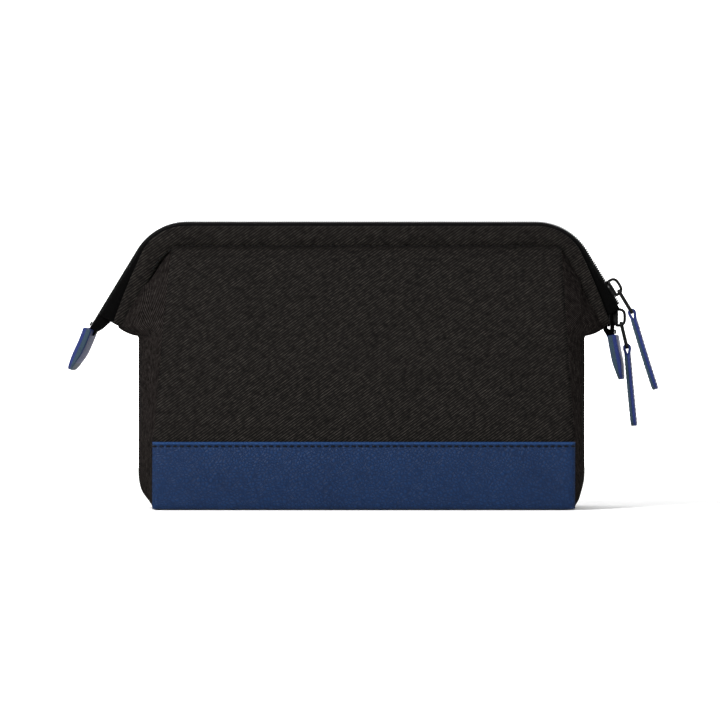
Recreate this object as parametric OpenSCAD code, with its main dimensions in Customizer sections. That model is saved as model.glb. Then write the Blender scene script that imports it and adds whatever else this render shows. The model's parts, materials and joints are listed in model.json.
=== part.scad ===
/* [Body] */
// Width of the front panel between its side seams at the base
panel_base_w = 246; // [190:1:300]
// Width of the front panel between its side seams under the mouth
panel_top_w = 227; // [170:1:280]
// Depth of the bag at the base
body_d = 120; // [90:1:150]
// Height of the bag at the closed zipper
body_h = 167; // [135:1:205]
// How far each side panel bows out past the seams
side_bow = 7; // [3:0.5:12]
// Thickness of the woven cloth with its backing
cloth_t = 1.6; // [0.8:0.1:2.5]
// Thickness of the leather
leather_t = 1.8; // [1:0.1:2.5]
// Height of the leather band
band_h = 39; // [20:1:60]
// Height at which the rigid lower walls end and the shoulders start to fold
shoulder_z = 112; // [90:1:118]
// Height at which the side panels fold out into the wings
wing_z = 100; // [80:1:104]

/* [Mouth] */
// Length of the straight top of the mouth frame
mouth_w = 204; // [150:1:250]
// Corner radius of the mouth, measured at the zipper
mouth_corner_r = 34; // [28:1:40]
// Slope of the mouth's legs from the horizontal
leg_angle = 58.7; // [50:0.1:75]
// Width of the facing sewn over the frame strip
facing_w = 13; // [10:0.5:16]
// Thickness of the facing with the strip inside
facing_t = 4.6; // [4:0.1:7]
// Width of the steel frame strip
strip_w = 8; // [5:0.5:9]
// Thickness of the steel frame strip
strip_t = 1.4; // [1:0.1:2]
// Height of the lower ends of the facings
facing_end_z = 111; // [104:0.5:116]

/* [Zipper] */
// Width of one side of the zipper tape
tape_w = 6; // [4:0.5:9]
// Thickness of the zipper tape
tape_t = 0.8; // [0.5:0.1:1]
// Width of one row of the coil
coil_w = 1.6; // [1.2:0.1:2]
// Thickness of the coil
coil_t = 1.4; // [1:0.1:1.6]
// Height of the closed lower end of the zipper on the left
left_end_z = 105; // [102:0.5:108]
// Height of the closed lower end of the zipper on the right
right_end_z = 101; // [99:0.5:103]
// Length of a zipper slider
slider_l = 11; // [9:0.5:13]
// Width of a zipper slider
slider_w = 8; // [6:0.2:8.4]
// Height of the centre of the upper slider
upper_slider_z = 127; // [125:0.5:132]
// Height of the centre of the lower slider
lower_slider_z = 111; // [110:0.5:112]

/* [Pulls and tabs] */
// Distance between the two pivots of a metal puller
puller_l = 15; // [11:0.5:18]
// Wire thickness of a metal puller
puller_wire_d = 1.4; // [1:0.1:1.6]
// Length of a leather pull below its pivot
pull_l = 45; // [35:1:55]
// Width of a leather pull
pull_w = 10; // [7:0.5:13]
// Thickness of a leather pull
pull_t = 3.6; // [2.6:0.1:4.2]
// Width of an end tab
tab_w = 24; // [16:1:28]
// Length of an end tab below its pivot
tab_l = 24; // [18:1:30]
// Thickness of an end tab
tab_t = 5; // [4:0.2:6]

/* [Inside] */
// Thickness of the stiffener board
board_t = 2; // [1:0.1:3]
// Thickness of the lining
lining_t = 0.8; // [0.5:0.1:1.2]

/* [Hidden] */
$fn = 64;

// Clearance between sewn layers that lie against each other
layer_gap = 0.3;
// Clearance of the frame strip in its channel
strip_gap = 0.3;
// Clearance of the slider's divider in the split coil
blade_gap = 0.3;
// Gap between the base hide and the bands, and of the bands off the cloth
hide_gap = 0.2;
hide_off = 0.1;
// How far below the facing each gusset stops
gusset_drop = 8;
// Space between the closed ends of the zipper and the mouth's tapes
left_end_gap = 0.5;
right_end_gap = 1.4;
// Space between a staple and the end of its coil
stop_gap = 0.4;
stop_t = 0.8;
stop_lift = 0.05;
// Room between the leather of a pull and the arms of its link
strap_gap = 0.4;
// Clearance of a slider plate over the coil and under the tape
plate_gap = 0.5;
slider_plate_t = 1.4;
blade_w = 0.7;
// Half the space between the two coils, which the divider runs in
coil_y = blade_w / 2 + blade_gap;
bridge_h = 4.2;
bridge_t = 1.1;
bridge_w = 2.2;
link_gap = 0.6;
stop_l = 2.4;
// Cloth sewn together past each end of the frame strip
seam_w = 1.2;
profile_steps = 24;
corner_steps = 16;
far = 400;

// The zipper runs a little inside the outline of the arch
arch_h = body_h - coil_t / 2;
corner_x = mouth_w / 2;
corner_z = arch_h - mouth_corner_r;
tape_in = coil_t / 2 + 0.1;
facing_out = tape_in + tape_t + layer_gap;
facing_in = facing_out + facing_w;
facing_y = slider_w / 2 + 0.5;
strip_in = facing_out + (facing_w - strip_w) / 2;
strip_y = facing_y + facing_t / 2;
strip_end_z = facing_end_z + 2;
mouth_half_d = facing_y + facing_t;
// The facing's lower edge, where the cloth shoulder ends
crown_z = arch_h - facing_in;
// The zipper stays closed below this height, where the sliders part the tapes
closed_z = 119;

// Half the bag's depth at a height, from the base up to the facing
function half_depth(z) =
    let (t = min(z / (crown_z + 2), 1))
    mouth_half_d + (body_d / 2 - mouth_half_d) * pow(1 - t * t, 0.7);

// Half the front panel's width at a height
function seam_x(z) =
    panel_base_w / 2 + (panel_top_w - panel_base_w) / 2 * z / crown_z;

// The end of the corner arc and the leg below it, at an inset from the arch
function bend_x(inset) = corner_x + (mouth_corner_r - inset) * sin(leg_angle);
function bend_z(inset) = corner_z + (mouth_corner_r - inset) * cos(leg_angle);
function leg_x(z, inset) = bend_x(inset) + (bend_z(inset) - z) / tan(leg_angle);

// Below the upper slider the right end of the zipper hangs straight down
right_end_in = 2.5;
right_end_x = leg_x(closed_z, 0) - right_end_in;
plate_top = coil_t / 2 + plate_gap;
plate_under = tape_in + tape_t + plate_gap;
// The facings stop short of the lower slider
slider_room = 1.8;
facing_x = right_end_x - plate_under - slider_plate_t - slider_room;

side_x = panel_base_w / 2 + side_bow;
side_r = (pow(body_d / 2, 2) + pow(side_bow + 2, 2)) / (2 * (side_bow + 2));

// Everything inside the front and rear walls, brought in by an inset
module depth_solid(inset, z0, z1) {
    heights = [for (i = [0:profile_steps]) z0 + (z1 - z0) * i / profile_steps];
    front = [for (z = heights) [inset - half_depth(z), z]];
    rear = [for (i = [profile_steps:-1:0]) [half_depth(heights[i]) - inset, heights[i]]];
    rotate([90, 0, 90])
        linear_extrude(height = far, center = true)
            polygon(concat(front, rear));
}

// One skin of the front wall, between two insets
module front_skin(outer, inner, z0, z1, trim = 0) {
    heights = [for (i = [0:profile_steps]) z0 + (z1 - z0) * i / profile_steps];
    outside = [for (z = heights) [outer - half_depth(z), z]];
    inside = [for (i = [profile_steps:-1:0]) [inner - half_depth(heights[i]), heights[i]]];
    intersection() {
        rotate([90, 0, 90])
            linear_extrude(height = far, center = true)
                polygon(concat(outside, inside));
        rotate([90, 0, 0])
            linear_extrude(height = far, center = true)
                polygon([
                    [trim - seam_x(z0), z0 - 1], [seam_x(z0) - trim, z0 - 1],
                    [seam_x(z1) - trim, z1 + 1], [trim - seam_x(z1), z1 + 1]
                ]);
    }
}

// Plan of the bag, with its bowed sides
module bowed_plan(inset) {
    intersection() {
        translate([side_x - side_r, 0]) circle(r = side_r - inset, $fn = 128);
        translate([side_r - side_x, 0]) circle(r = side_r - inset, $fn = 128);
    }
}

module to_rear() { mirror([0, 1, 0]) children(); }
module to_left() { mirror([1, 0, 0]) children(); }

// ---- Shell ----

module leather_base() {
    color("#233a62")
        linear_extrude(height = leather_t)
            intersection() {
                bowed_plan(0);
                square([far, body_d - 2 * hide_gap], center = true);
            }
}

module leather_band_front() {
    color("#233a62")
        front_skin(-leather_t - hide_off, -hide_off, 0, band_h);
}

module leather_band_rear() { to_rear() leather_band_front(); }

module base_board() {
    color("#6b5a44")
        translate([0, 0, leather_t + layer_gap])
            linear_extrude(height = board_t)
                intersection() {
                    bowed_plan(cloth_t + 1);
                    square([far, body_d - 2 * cloth_t - 2], center = true);
                }
}

module front_panel() {
    color("#242220")
        front_skin(0, cloth_t, leather_t + layer_gap, shoulder_z);
}

module rear_panel() { to_rear() front_panel(); }

module side_panel_right() {
    bottom = leather_t + layer_gap;
    color("#242220")
        intersection() {
            translate([0, 0, bottom])
                linear_extrude(height = wing_z - bottom)
                    difference() {
                        bowed_plan(0);
                        bowed_plan(cloth_t);
                        translate([-far, -far / 2]) square([far, far]);
                    }
            depth_solid(cloth_t + layer_gap, bottom - 1, wing_z + 1);
        }
}

module side_panel_left() { to_left() side_panel_right(); }

module front_shoulder() {
    color("#242220")
        front_skin(0, cloth_t, shoulder_z + layer_gap, crown_z - layer_gap);
}

module rear_shoulder() { to_rear() front_shoulder(); }

// ---- Lining ----

lining_in = cloth_t + 2 * layer_gap;
lining_z = leather_t + board_t + 2 * layer_gap;

module lining_sack() {
    color("#8d8f92")
        difference() {
            intersection() {
                depth_solid(lining_in, lining_z, wing_z);
                linear_extrude(height = far) bowed_plan(lining_in);
            }
            intersection() {
                depth_solid(lining_in + lining_t, lining_z + lining_t, wing_z + 1);
                linear_extrude(height = far) bowed_plan(lining_in + lining_t);
            }
        }
}

module lining_shoulder_front() {
    color("#8d8f92")
        front_skin(lining_in, lining_in + lining_t, wing_z + layer_gap, crown_z - layer_gap, 3);
}

module lining_shoulder_rear() { to_rear() lining_shoulder_front(); }

// ---- Gussets: the side cloth above the side panels, folded out to the mouth's legs ----

module cloth_triangle(a, b, c) {
    hull()
        for (p = [a, b, c])
            translate(p) sphere(d = cloth_t, $fn = 10);
}

module gusset_front_right() {
    low = wing_z + layer_gap + cloth_t / 2;
    top = crown_z - gusset_drop;
    edge_in = facing_in + cloth_t / 2 + layer_gap;
    seam_low = [seam_x(low) + cloth_t, cloth_t - half_depth(low), low];
    seam_top = [seam_x(top) + cloth_t, cloth_t - half_depth(top), top];
    side_mid = [side_x - cloth_t / 2, -layer_gap - cloth_t / 2, low];
    leg_low = [leg_x(facing_end_z, edge_in), -strip_y, facing_end_z];
    leg_z = bend_z(0) - gusset_drop;
    leg_top = [leg_x(leg_z, edge_in), -strip_y, leg_z];
    color("#242220") {
        cloth_triangle(seam_low, side_mid, leg_low);
        cloth_triangle(seam_low, leg_low, leg_top);
        cloth_triangle(seam_low, leg_top, seam_top);
    }
}

module gusset_front_left() { to_left() gusset_front_right(); }
module gusset_rear_right() { to_rear() gusset_front_right(); }
module gusset_rear_left() { to_left() to_rear() gusset_front_right(); }

// ---- Mouth: an arch with a straight top, round corners and sloping legs ----

function right_corner(inset) = [
    for (i = [0:corner_steps])
        let (turn = leg_angle * (1 - i / corner_steps))
        [
            corner_x + (mouth_corner_r - inset) * sin(turn),
            corner_z + (mouth_corner_r - inset) * cos(turn)
        ]
];

module arch_region(inset, z_end) {
    right = concat([[leg_x(z_end, inset), z_end]], right_corner(inset));
    left = [for (i = [len(right) - 1:-1:0]) [-right[i][0], right[i][1]]];
    polygon(concat(right, left));
}

// A band along the arch, from y0 to y1
module arch_band(outer, inner, z_end, y0, y1, x_max = far) {
    translate([0, y1, 0])
        rotate([90, 0, 0])
            linear_extrude(height = y1 - y0)
                intersection() {
                    difference() {
                        arch_region(outer, z_end);
                        arch_region(inner, z_end - 20);
                    }
                    translate([-x_max, 0]) square([2 * x_max, far]);
                }
}

module frame_strip(gap) {
    arch_band(
        strip_in - gap, strip_in + strip_w + gap, strip_end_z - gap,
        -strip_y - strip_t / 2 - gap, -strip_y + strip_t / 2 + gap,
        facing_x - seam_w + gap
    );
}

module facing_front() {
    color("#242220")
        difference() {
            arch_band(facing_out, facing_in, facing_end_z, -mouth_half_d, -facing_y, facing_x);
            frame_strip(strip_gap);
        }
}

module facing_rear() { to_rear() facing_front(); }

module frame_strip_front() { color("silver") frame_strip(0); }
module frame_strip_rear() { to_rear() frame_strip_front(); }

// ---- Zipper ----

module zip_tape_front() {
    color("#0b0b0c")
        arch_band(tape_in, tape_in + tape_t, closed_z, -coil_y - tape_w, -coil_y);
}

module zip_tape_rear() { to_rear() zip_tape_front(); }

module zip_coil_front() {
    color("#050505")
        arch_band(-coil_t / 2, coil_t / 2, closed_z, -coil_y - coil_w, -coil_y);
}

module zip_coil_rear() { to_rear() zip_coil_front(); }

// Places a piece on the zipper: x runs down the zipper, z points out of the bag
module on_leg(z) {
    translate([leg_x(z, 0), 0, z]) rotate([0, leg_angle, 0]) children();
}

module on_right_end(z) {
    translate([right_end_x, 0, z]) rotate([0, 90, 0]) children();
}

// Two tapes and two rows of coil, over a length
module closed_zip(l) {
    for (side = [0, 1])
        mirror([0, side, 0]) {
            translate([0, coil_y, -tape_in - tape_t]) cube([l, tape_w, tape_t]);
            translate([0, coil_y, -tape_in - tape_t / 2])
                cube([l, coil_w, tape_in + tape_t / 2 + coil_t / 2]);
        }
}

module zip_end_right() {
    top = closed_z - right_end_gap;
    color("#0b0b0c") on_right_end(top) closed_zip(top - right_end_z);
}

module zip_end_left() {
    top = closed_z - left_end_gap;
    color("#0b0b0c")
        to_left() on_leg(top) closed_zip((top - left_end_z) / sin(leg_angle));
}

// A metal staple over the last coils at each end
module zip_stop() {
    translate([0, -coil_y - coil_w, coil_t / 2 + stop_lift])
        cube([stop_l, 2 * (coil_y + coil_w), stop_t]);
}

module zip_stops() {
    color("#1a1a1c") {
        on_right_end(right_end_z + stop_l + stop_gap) zip_stop();
        to_left() on_leg(left_end_z + stop_l + stop_gap) zip_stop();
    }
}

// Slider: a plate over the coil, a plate under the tape, the divider and the puller's bridge
bridge_z = plate_top + slider_plate_t;
pin_x = slider_l / 2 - bridge_t - puller_wire_d / 2 - link_gap;
pin_z = bridge_z + bridge_h - bridge_t - puller_wire_d / 2 - link_gap;

module slider_plate() {
    nose = slider_w / 2;
    linear_extrude(height = slider_plate_t) {
        translate([nose - slider_l / 2, -nose]) square([slider_l - nose, slider_w]);
        translate([nose - slider_l / 2, 0]) circle(r = nose);
    }
}

module zip_slider() {
    blade_l = slider_l * 0.45;
    color("#101011") {
        translate([0, 0, plate_top]) slider_plate();
        translate([0, 0, -plate_under - slider_plate_t]) slider_plate();
        translate([-slider_l / 2 + 0.4, -blade_w / 2, -plate_under - slider_plate_t / 2])
            cube([blade_l, blade_w, plate_under + plate_top + slider_plate_t]);
        translate([0, bridge_w / 2, bridge_z - 0.2])
            rotate([90, 0, 0])
                linear_extrude(height = bridge_w)
                    difference() {
                        translate([-slider_l / 2, 0]) square([slider_l, bridge_h + 0.2]);
                        translate([bridge_t - slider_l / 2, -1])
                            square([slider_l - 2 * bridge_t, bridge_h - bridge_t + 1.2]);
                    }
    }
}

module upper_slider() { on_leg(upper_slider_z) zip_slider(); }
module lower_slider() { on_right_end(lower_slider_z) zip_slider(); }

// A link: a crossbar in the slider's bridge, two arms and a crossbar for the leather
arm_y = bridge_w / 2 + link_gap + puller_wire_d / 2;

module puller() {
    arm_t = puller_wire_d + 0.3;
    arm_l = puller_l + arm_t;
    color("#101011") {
        for (x = [0, puller_l])
            translate([x, 0, 0])
                rotate([90, 0, 0])
                    cylinder(h = 2 * arm_y, d = puller_wire_d, center = true, $fn = 24);
        for (side = [-1, 1])
            translate([puller_l / 2, side * arm_y, 0])
                cube([arm_l, puller_wire_d, arm_t], center = true);
    }
}

// A strip folded round the puller's crossbar, with its two halves stitched together
module leather_pull() {
    eye_r = pull_t / 2;
    neck_w = 2 * (arm_y - puller_wire_d / 2 - strap_gap);
    neck_l = 4;
    tip_r = pull_w / 2 - 0.5;
    color("#233a62")
        difference() {
            union() {
                rotate([90, 0, 0]) cylinder(h = neck_w, r = eye_r, center = true);
                translate([0, -neck_w / 2, -pull_t / 2]) cube([neck_l + 1, neck_w, pull_t]);
                translate([neck_l, 0, -pull_t / 2])
                    linear_extrude(height = pull_t) {
                        translate([0, -pull_w / 2]) square([pull_l - neck_l - tip_r, pull_w]);
                        translate([pull_l - neck_l - tip_r - 0.01, 0])
                            intersection() {
                                circle(r = pull_w / 2);
                                square([2 * tip_r, pull_w], center = true);
                            }
                    }
            }
            rotate([90, 0, 0])
                cylinder(h = neck_w + 2, d = puller_wire_d + strap_gap, center = true, $fn = 24);
        }
}

// Rest angles of the pullers and pulls from straight down, swung outwards
upper_puller_tilt = 90 - leg_angle;
upper_pull_tilt = 15.3;
lower_puller_tilt = 13.6;
lower_pull_tilt = 3.4;

// The puller's pivot in each slider's bridge, as x and z
upper_pin = [
    leg_x(upper_slider_z, 0) + pin_x * cos(leg_angle) + pin_z * sin(leg_angle),
    upper_slider_z - pin_x * sin(leg_angle) + pin_z * cos(leg_angle)
];
lower_pin = [right_end_x + pin_z, lower_slider_z - pin_x];

function swing(pin, l, tilt) = [pin[0] + l * sin(tilt), pin[1] - l * cos(tilt)];

// Turns a piece that lies along x so that it hangs from a pivot at a tilt
module hang(pin, tilt) {
    translate([pin[0], 0, pin[1]]) rotate([0, 90 - tilt, 0]) children();
}

module upper_puller() { hang(upper_pin, upper_puller_tilt) puller(); }
module lower_puller() { hang(lower_pin, lower_puller_tilt) puller(); }

module upper_pull() {
    hang(swing(upper_pin, puller_l, upper_puller_tilt), upper_pull_tilt) leather_pull();
}

module lower_pull() {
    hang(swing(lower_pin, puller_l, lower_puller_tilt), lower_pull_tilt) leather_pull();
}

// ---- End tabs: leather folded over the ends of the zipper ----

tab_gap = 0.3;
left_tab_tilt = 24.6;
right_tab_tilt = 9.5;
left_tab_pin = [
    leg_x(left_end_z, 0) + (tab_t / 2 + tab_gap) * cos(leg_angle) - tape_in * sin(leg_angle),
    left_end_z - (tab_t / 2 + tab_gap) * sin(leg_angle) - tape_in * cos(leg_angle)
];
right_tab_pin = [right_end_x - tape_in, right_end_z - tab_t / 2 - tab_gap];

module end_tab() {
    corner = 7;
    color("#233a62") {
        rotate([90, 0, 0]) cylinder(h = tab_w, d = tab_t, center = true, $fn = 48);
        translate([0, 0, -tab_t / 2])
            linear_extrude(height = tab_t) {
                translate([0, -tab_w / 2]) square([tab_l - corner, tab_w]);
                translate([tab_l - corner - 0.01, corner - tab_w / 2])
                    square([corner, tab_w - 2 * corner]);
                for (side = [-1, 1])
                    translate([tab_l - corner, side * (tab_w / 2 - corner)])
                        circle(r = corner);
            }
    }
}

module left_tab() { to_left() hang(left_tab_pin, left_tab_tilt) end_tab(); }
module right_tab() { hang(right_tab_pin, right_tab_tilt) end_tab(); }

leather_base();
leather_band_front();
leather_band_rear();
base_board();
front_panel();
rear_panel();
side_panel_left();
side_panel_right();
front_shoulder();
rear_shoulder();
lining_sack();
lining_shoulder_front();
lining_shoulder_rear();
gusset_front_left();
gusset_front_right();
gusset_rear_left();
gusset_rear_right();
facing_front();
facing_rear();
frame_strip_front();
frame_strip_rear();
zip_tape_front();
zip_tape_rear();
zip_coil_front();
zip_coil_rear();
zip_end_left();
zip_end_right();
zip_stops();
upper_slider();
lower_slider();
upper_puller();
lower_puller();
upper_pull();
lower_pull();
left_tab();
right_tab();
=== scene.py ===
import json
import math

import bmesh
import bpy
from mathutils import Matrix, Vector, noise


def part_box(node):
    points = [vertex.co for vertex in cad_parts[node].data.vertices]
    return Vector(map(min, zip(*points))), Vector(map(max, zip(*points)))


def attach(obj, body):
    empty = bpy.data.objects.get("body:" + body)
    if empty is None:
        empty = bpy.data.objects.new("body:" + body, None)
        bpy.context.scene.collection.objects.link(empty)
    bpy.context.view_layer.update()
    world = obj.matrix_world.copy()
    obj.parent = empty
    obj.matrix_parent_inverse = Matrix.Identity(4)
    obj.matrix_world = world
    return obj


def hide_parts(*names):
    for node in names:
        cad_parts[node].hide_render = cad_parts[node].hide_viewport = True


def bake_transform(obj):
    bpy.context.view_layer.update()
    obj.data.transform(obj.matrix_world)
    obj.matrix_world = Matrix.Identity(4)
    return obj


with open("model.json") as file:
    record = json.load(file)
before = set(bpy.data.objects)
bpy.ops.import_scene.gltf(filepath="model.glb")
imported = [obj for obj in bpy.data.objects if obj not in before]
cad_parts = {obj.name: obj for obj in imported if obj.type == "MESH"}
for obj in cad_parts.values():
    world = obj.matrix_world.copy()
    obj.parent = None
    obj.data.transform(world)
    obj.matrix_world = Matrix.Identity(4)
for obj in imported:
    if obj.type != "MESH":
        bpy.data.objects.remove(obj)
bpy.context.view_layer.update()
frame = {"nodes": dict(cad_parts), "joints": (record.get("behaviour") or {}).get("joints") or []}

MM = 0.001

# ---------------------------------------------------------------- sizes, in mm

facing_low, facing_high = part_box("facing_front")
coil_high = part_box("zip_coil_front")[1]
band_low, band_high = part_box("leather_band_front")
side_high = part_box("side_panel_right")[1]

COIL_T = 1.4
MOUTH_TOP = coil_high.z / MM - COIL_T / 2
MOUTH_CORNER_R = 34.0
MOUTH_HALF_W = 102.0
LEG_ANGLE = math.radians(58.7)
FACING_OUT = MOUTH_TOP - facing_high.z / MM
FACING_IN = FACING_OUT + 13.0
FACING_Y = -facing_high.y / MM
RIDGE_HALF_D = -facing_low.y / MM
FACING_END_Z = facing_low.z / MM
CROWN_Z = MOUTH_TOP - FACING_IN
HALF_D = -band_low.y / MM - 1.9
BAND_H = band_high.z / MM
SIDE_X = side_high.x / MM + 0.8
SEAM_BASE_X = 121.4
SEAM_TOP_X = 113.5
CLOTH_T = 1.6
SIDE_CLOTH_T = CLOTH_T * 0.8
LINING_T = 0.6
BAND_HIDE_T = 1.2
TAPE_T = 0.7
# The side is upright up to the fold, where it turns out into the wing
SIDE_FOOT_Z = 1.0
SIDE_FOLD_Z = 100
SEAM_FOLD_Z = 108
WING_FOOT_Z = 105.2
FOOT_ROUND = 8.6
FOOT_ROUND_H = 24
# The folds take up these shares of the side's length, from its foot
FOLD_START = 0.5
FOLD_END = 0.6
ZIP_CLOSED_Z = 119.0
CORNER_C = Vector((MOUTH_HALF_W, 0, MOUTH_TOP - MOUTH_CORNER_R))
WING_INSET = FACING_IN - 1.5
RIDGE_TUCK_Y = -RIDGE_HALF_D + 2.3


def half_depth(z):
    """Half the bag's depth at a height, as the cloth hangs from the mouth to the base."""
    t = min(max(z, 0) / (CROWN_Z + 2), 1)
    return RIDGE_HALF_D + (HALF_D - RIDGE_HALF_D) * (1 - t * t) ** 0.7


def seam_x(z):
    """Half the front's width: straight up the leather, then drawn in towards the mouth."""
    rise = max(z - BAND_H, 0) / (CROWN_Z - BAND_H)
    return SEAM_BASE_X + (SEAM_TOP_X - SEAM_BASE_X) * rise ** 0.9


def ease(low, high, value):
    """A smooth step from 0 to 1 between two values."""
    t = min(max((value - low) / (high - low), 0), 1)
    return t * t * (3 - 2 * t)


def bend_point(inset):
    """Where the mouth's corner runs into its leg, on a line drawn in from the coil."""
    r = MOUTH_CORNER_R - inset
    return CORNER_C + Vector((math.sin(LEG_ANGLE), 0, math.cos(LEG_ANGLE))) * r


def leg_x(z, inset):
    """How far out the mouth's leg is at a height, on a line drawn in from the coil."""
    p = bend_point(inset)
    return p.x + (p.z - z) / math.tan(LEG_ANGLE)


def facing_edge(z):
    """How far in from the coil the facing starts; it draws back down the legs and bares the tape."""
    t = min(max((MOUTH_TOP - z) / 54, 0), 1)
    return FACING_OUT + 8.2 * t ** 1.6


def arch_path(z_end_left, z_end_right, step=3.0):
    """Points and outward normals along the mouth, from the left end to the right end."""
    down = Vector((math.cos(LEG_ANGLE), 0, -math.sin(LEG_ANGLE)))
    out = Vector((math.sin(LEG_ANGLE), 0, math.cos(LEG_ANGLE)))
    bend = bend_point(0)

    def half(z_end):
        length = (bend.z - z_end) / math.sin(LEG_ANGLE)
        legs = max(int(length / step), 2)
        corner = max(int(MOUTH_CORNER_R * LEG_ANGLE / step * 1.6), 4)
        points = [(bend + down * length * i / legs, out) for i in range(legs, 0, -1)]
        for i in range(corner + 1):
            turn = LEG_ANGLE * (1 - i / corner)
            n = Vector((math.sin(turn), 0, math.cos(turn)))
            points.append((CORNER_C + n * MOUTH_CORNER_R, n))
        return points

    def flip(v):
        return Vector((-v.x, v.y, v.z))

    left = [(flip(p), flip(n)) for p, n in half(z_end_left)]
    top = int(2 * MOUTH_HALF_W / step)
    middle = [
        (Vector((MOUTH_HALF_W * (2 * i / top - 1), 0, MOUTH_TOP)), Vector((0, 0, 1)))
        for i in range(1, top)
    ]
    return left + middle + half(z_end_right)[::-1]


# ---------------------------------------------------------------- mesh helpers


def put_in_scene(name, data):
    thing = bpy.data.objects.new(name, data)
    bpy.context.scene.collection.objects.link(thing)
    return thing


def new_piece(name, points, faces, smooth=True):
    """A mesh piece from points in mm."""
    mesh = bpy.data.meshes.new(name)
    mesh.from_pydata([Vector(p) * MM for p in points], [], faces)
    mesh.validate()
    for polygon in mesh.polygons:
        polygon.use_smooth = smooth
    return put_in_scene(name, mesh)


def grid_faces(rows, cols, close_cols=False):
    """Faces over rows and columns of points, joined up round the columns if asked."""
    faces = []
    for r in range(rows - 1):
        for c in range(cols if close_cols else cols - 1):
            d = (c + 1) % cols
            a, b = r * cols, (r + 1) * cols
            faces.append((a + c, a + d, b + d, b + c))
    return faces


def tube(name, rings, smooth=True):
    """A closed solid through rings of points, with its two ends capped."""
    cols = len(rings[0])
    points = [p for ring in rings for p in ring]
    faces = grid_faces(len(rings), cols, close_cols=True)
    faces.append(tuple(range(cols))[::-1])
    faces.append(tuple(range((len(rings) - 1) * cols, len(rings) * cols)))
    return outward(new_piece(name, points, faces, smooth))


def outward(piece):
    """Turns every face of a closed piece outwards."""
    bm = bmesh.new()
    bm.from_mesh(piece.data)
    bmesh.ops.recalc_face_normals(bm, faces=bm.faces)
    bm.to_mesh(piece.data)
    bm.free()
    return piece


def cloth_slab(name, grid, thickness, inward):
    """A sheet with real thickness: the grid is its outer face, and inward(point) points to its back."""
    rows, cols = len(grid), len(grid[0])
    outer = [Vector(p) for row in grid for p in row]
    normals = []
    for r in range(rows):
        for c in range(cols):
            across = Vector(grid[r][min(c + 1, cols - 1)]) - Vector(grid[r][max(c - 1, 0)])
            up = Vector(grid[min(r + 1, rows - 1)][c]) - Vector(grid[max(r - 1, 0)][c])
            n = across.cross(up)
            n = n.normalized() if n.length > 1e-9 else Vector(inward(outer[r * cols + c]))
            if n.dot(Vector(inward(outer[r * cols + c]))) < 0:
                n = -n
            normals.append(n)
    inner = [p + n * thickness for p, n in zip(outer, normals)]
    count = rows * cols
    faces = grid_faces(rows, cols)
    faces += [tuple(i + count for i in f[::-1]) for f in grid_faces(rows, cols)]
    rim = list(range(cols))
    rim += [r * cols + cols - 1 for r in range(1, rows)]
    rim += [(rows - 1) * cols + c for c in range(cols - 2, -1, -1)]
    rim += [r * cols for r in range(rows - 2, 0, -1)]
    for i, a in enumerate(rim):
        b = rim[(i + 1) % len(rim)]
        faces.append((a, b, b + count, a + count))
    piece = outward(new_piece(name, outer + inner, faces))
    back = len(grid_faces(rows, cols))
    for polygon in piece.data.polygons[back:2 * back]:
        polygon.material_index = 1
    return piece


def mirrored(name, piece, axis):
    """A copy on the other side of the bag, with its faces still outwards."""
    mesh = piece.data.copy()
    mesh.name = name
    for v in mesh.vertices:
        v.co[axis] = -v.co[axis]
    mesh.flip_normals()
    return put_in_scene(name, mesh)


def rounded_section(half_w, half_t, radius, steps=4):
    """The outline of a soft-edged strip, as (across, through) pairs."""
    outline = []
    for sx, sy, start in ((1, 1, 0), (-1, 1, 90), (-1, -1, 180), (1, -1, 270)):
        for i in range(steps + 1):
            a = math.radians(start + 90 * i / steps)
            outline.append((
                sx * (half_w - radius) + radius * math.cos(a),
                sy * (half_t - radius) + radius * math.sin(a),
            ))
    return outline


# ---------------------------------------------------------------- shader helpers


def linear(hex_colour):
    """An sRGB hex colour as linear values."""
    def channel(c):
        c = int(c, 16) / 255
        return c / 12.92 if c <= 0.04045 else ((c + 0.055) / 1.055) ** 2.4

    h = hex_colour.lstrip("#")
    return (channel(h[0:2]), channel(h[2:4]), channel(h[4:6]), 1.0)


def add(tree, kind, links=None, **settings):
    """Adds a node with its settings, input values and incoming links."""
    n = tree.nodes.new(kind)
    for key, value in settings.items():
        if key.startswith("in_"):
            n.inputs[int(key[3:])].default_value = value
        else:
            setattr(n, key, value)
    for socket, source in (links or {}).items():
        tree.links.new(source, n.inputs[socket])
    return n


def new_material(name, roughness, specular=0.5):
    m = bpy.data.materials.new(name)
    m.use_nodes = True
    tree = m.node_tree
    shader = tree.nodes["Principled BSDF"]
    shader.inputs["Roughness"].default_value = roughness
    shader.inputs["Specular IOR Level"].default_value = specular
    return m, tree, shader


def maths(tree, operation, a, b=0.0):
    """One sum; a and b are numbers or sockets."""
    n = add(tree, "ShaderNodeMath", operation=operation)
    for i, v in enumerate((a, b)):
        if isinstance(v, (int, float)):
            n.inputs[i].default_value = v
        else:
            tree.links.new(v, n.inputs[i])
    return n.outputs[0]


def colour_mix(tree, factor, dark, light):
    """From the dark colour at 0 to the light one at 1, and on past it."""
    mix = add(tree, "ShaderNodeMix", data_type="RGBA", clamp_factor=False, links={0: factor})
    mix.inputs[6].default_value = linear(dark)
    mix.inputs[7].default_value = linear(light)
    return mix.outputs[2]


def bump(tree, height, shader, distance_mm, strength=1.0):
    b = add(tree, "ShaderNodeBump", in_0=strength, in_1=distance_mm * MM, links={"Height": height})
    tree.links.new(b.outputs[0], shader.inputs["Normal"])


def position(tree):
    """The place on the piece, whole and split into its three parts."""
    coordinates = add(tree, "ShaderNodeTexCoord").outputs["Object"]
    return coordinates, add(tree, "ShaderNodeSeparateXYZ", links={0: coordinates})


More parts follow.
